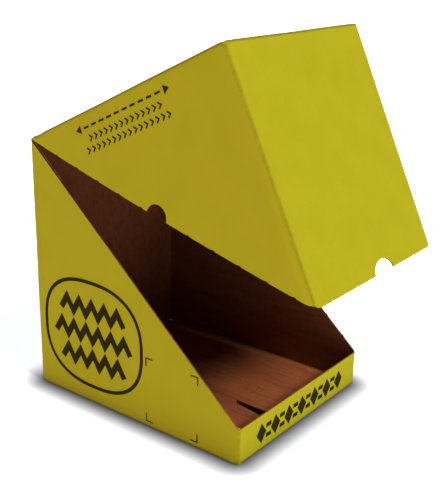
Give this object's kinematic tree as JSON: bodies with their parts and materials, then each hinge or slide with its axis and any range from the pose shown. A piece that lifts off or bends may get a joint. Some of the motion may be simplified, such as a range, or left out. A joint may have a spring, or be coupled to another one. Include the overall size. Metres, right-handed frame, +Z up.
{
  "type": "cardboard display stand",
  "caption": "Counter display stand folded from corrugated board, with a tear-off hood that swings back on its top crease over a sloped open tray.",
  "frame": {"origin": "on the ground, at the middle of the tray's footprint, which is also the middle of the closed box", "axes": "+Z up from the ground, +X to the viewer's right, and the display's open front faces -Y"},
  "size_m": [0.2072, 0.319, 0.3601],
  "materials": {
    "tray_board": "matte printed yellow outside, bare brown inside",
    "hood_board": "matte printed yellow outside, bare brown inside"
  },
  "bodies": {
    "tray": {"tray": "tray_board"},
    "hood": {"hood": "hood_board"}
  },
  "joints": [
    {"name": "hood_crease", "type": "hinge", "parent": "tray", "child": "hood", "pos_m": [0, 0.12397, 0.25097], "axis": [-1, 0, 0], "range_deg": [-26, 109]}
  ]
}
